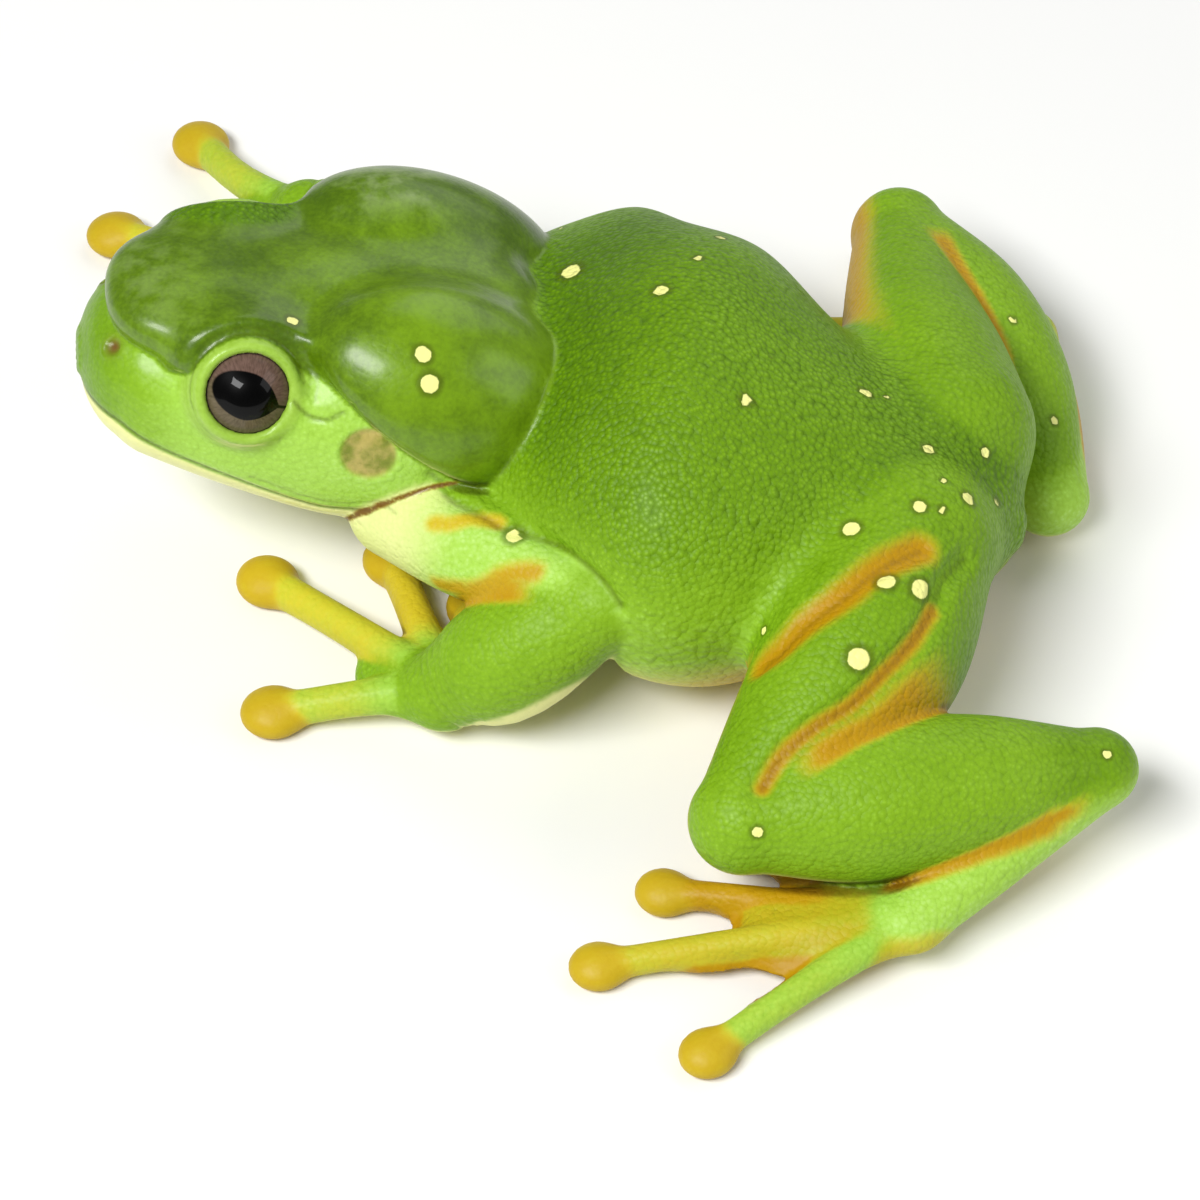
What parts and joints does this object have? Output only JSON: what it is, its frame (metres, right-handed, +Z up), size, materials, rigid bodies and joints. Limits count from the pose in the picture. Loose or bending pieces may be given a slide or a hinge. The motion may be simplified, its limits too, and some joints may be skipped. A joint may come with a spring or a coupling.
{
  "type": "tree frog",
  "caption": "Still, life-size plump tree frog with large head glands, sitting low with its head turned, limbs folded and toe discs on the ground.",
  "frame": {"origin": "middle of the bounding box, on the ground under the belly", "axes": "the frog's trunk faces -X, its right side is +Y, +Z is up"},
  "size_m": [0.1328, 0.118, 0.0379],
  "materials": {
    "green_skin": "moist, finely granular green skin",
    "gland_skin": "smooth, slightly glossy dark green skin",
    "amber_digits": "satin amber skin",
    "eardrum": "thin olive membrane",
    "eye": "wet, clear cornea over a grey-brown iris"
  },
  "bodies": {
    "root": {"left_eye": "eye", "right_eye": "eye", "left_eardrum": "eardrum", "right_eardrum": "eardrum", "left_neck_gland": "gland_skin", "right_neck_gland": "gland_skin", "snout_gland": "gland_skin", "lower_jaw": "green_skin", "head": "green_skin", "left_upper_arm": "green_skin", "left_forearm": "green_skin", "left_hand": "green_skin", "left_finger_1": "amber_digits", "left_finger_2": "amber_digits", "left_finger_3": "amber_digits", "left_finger_4": "amber_digits", "left_thigh": "green_skin", "left_shank": "green_skin", "left_tarsus": "green_skin", "left_foot": "green_skin", "left_toe_1": "amber_digits", "left_toe_2": "amber_digits", "left_toe_3": "amber_digits", "left_toe_4": "amber_digits", "left_toe_5": "amber_digits", "right_upper_arm": "green_skin", "right_forearm": "green_skin", "right_hand": "green_skin", "right_finger_1": "amber_digits", "right_finger_2": "amber_digits", "right_finger_3": "amber_digits", "right_finger_4": "amber_digits", "right_thigh": "green_skin", "right_shank": "green_skin", "right_tarsus": "green_skin", "right_foot": "green_skin", "right_toe_1": "amber_digits", "right_toe_2": "amber_digits", "right_toe_3": "amber_digits", "right_toe_4": "amber_digits", "right_toe_5": "amber_digits", "trunk": "green_skin"}
  },
  "joints": []
}
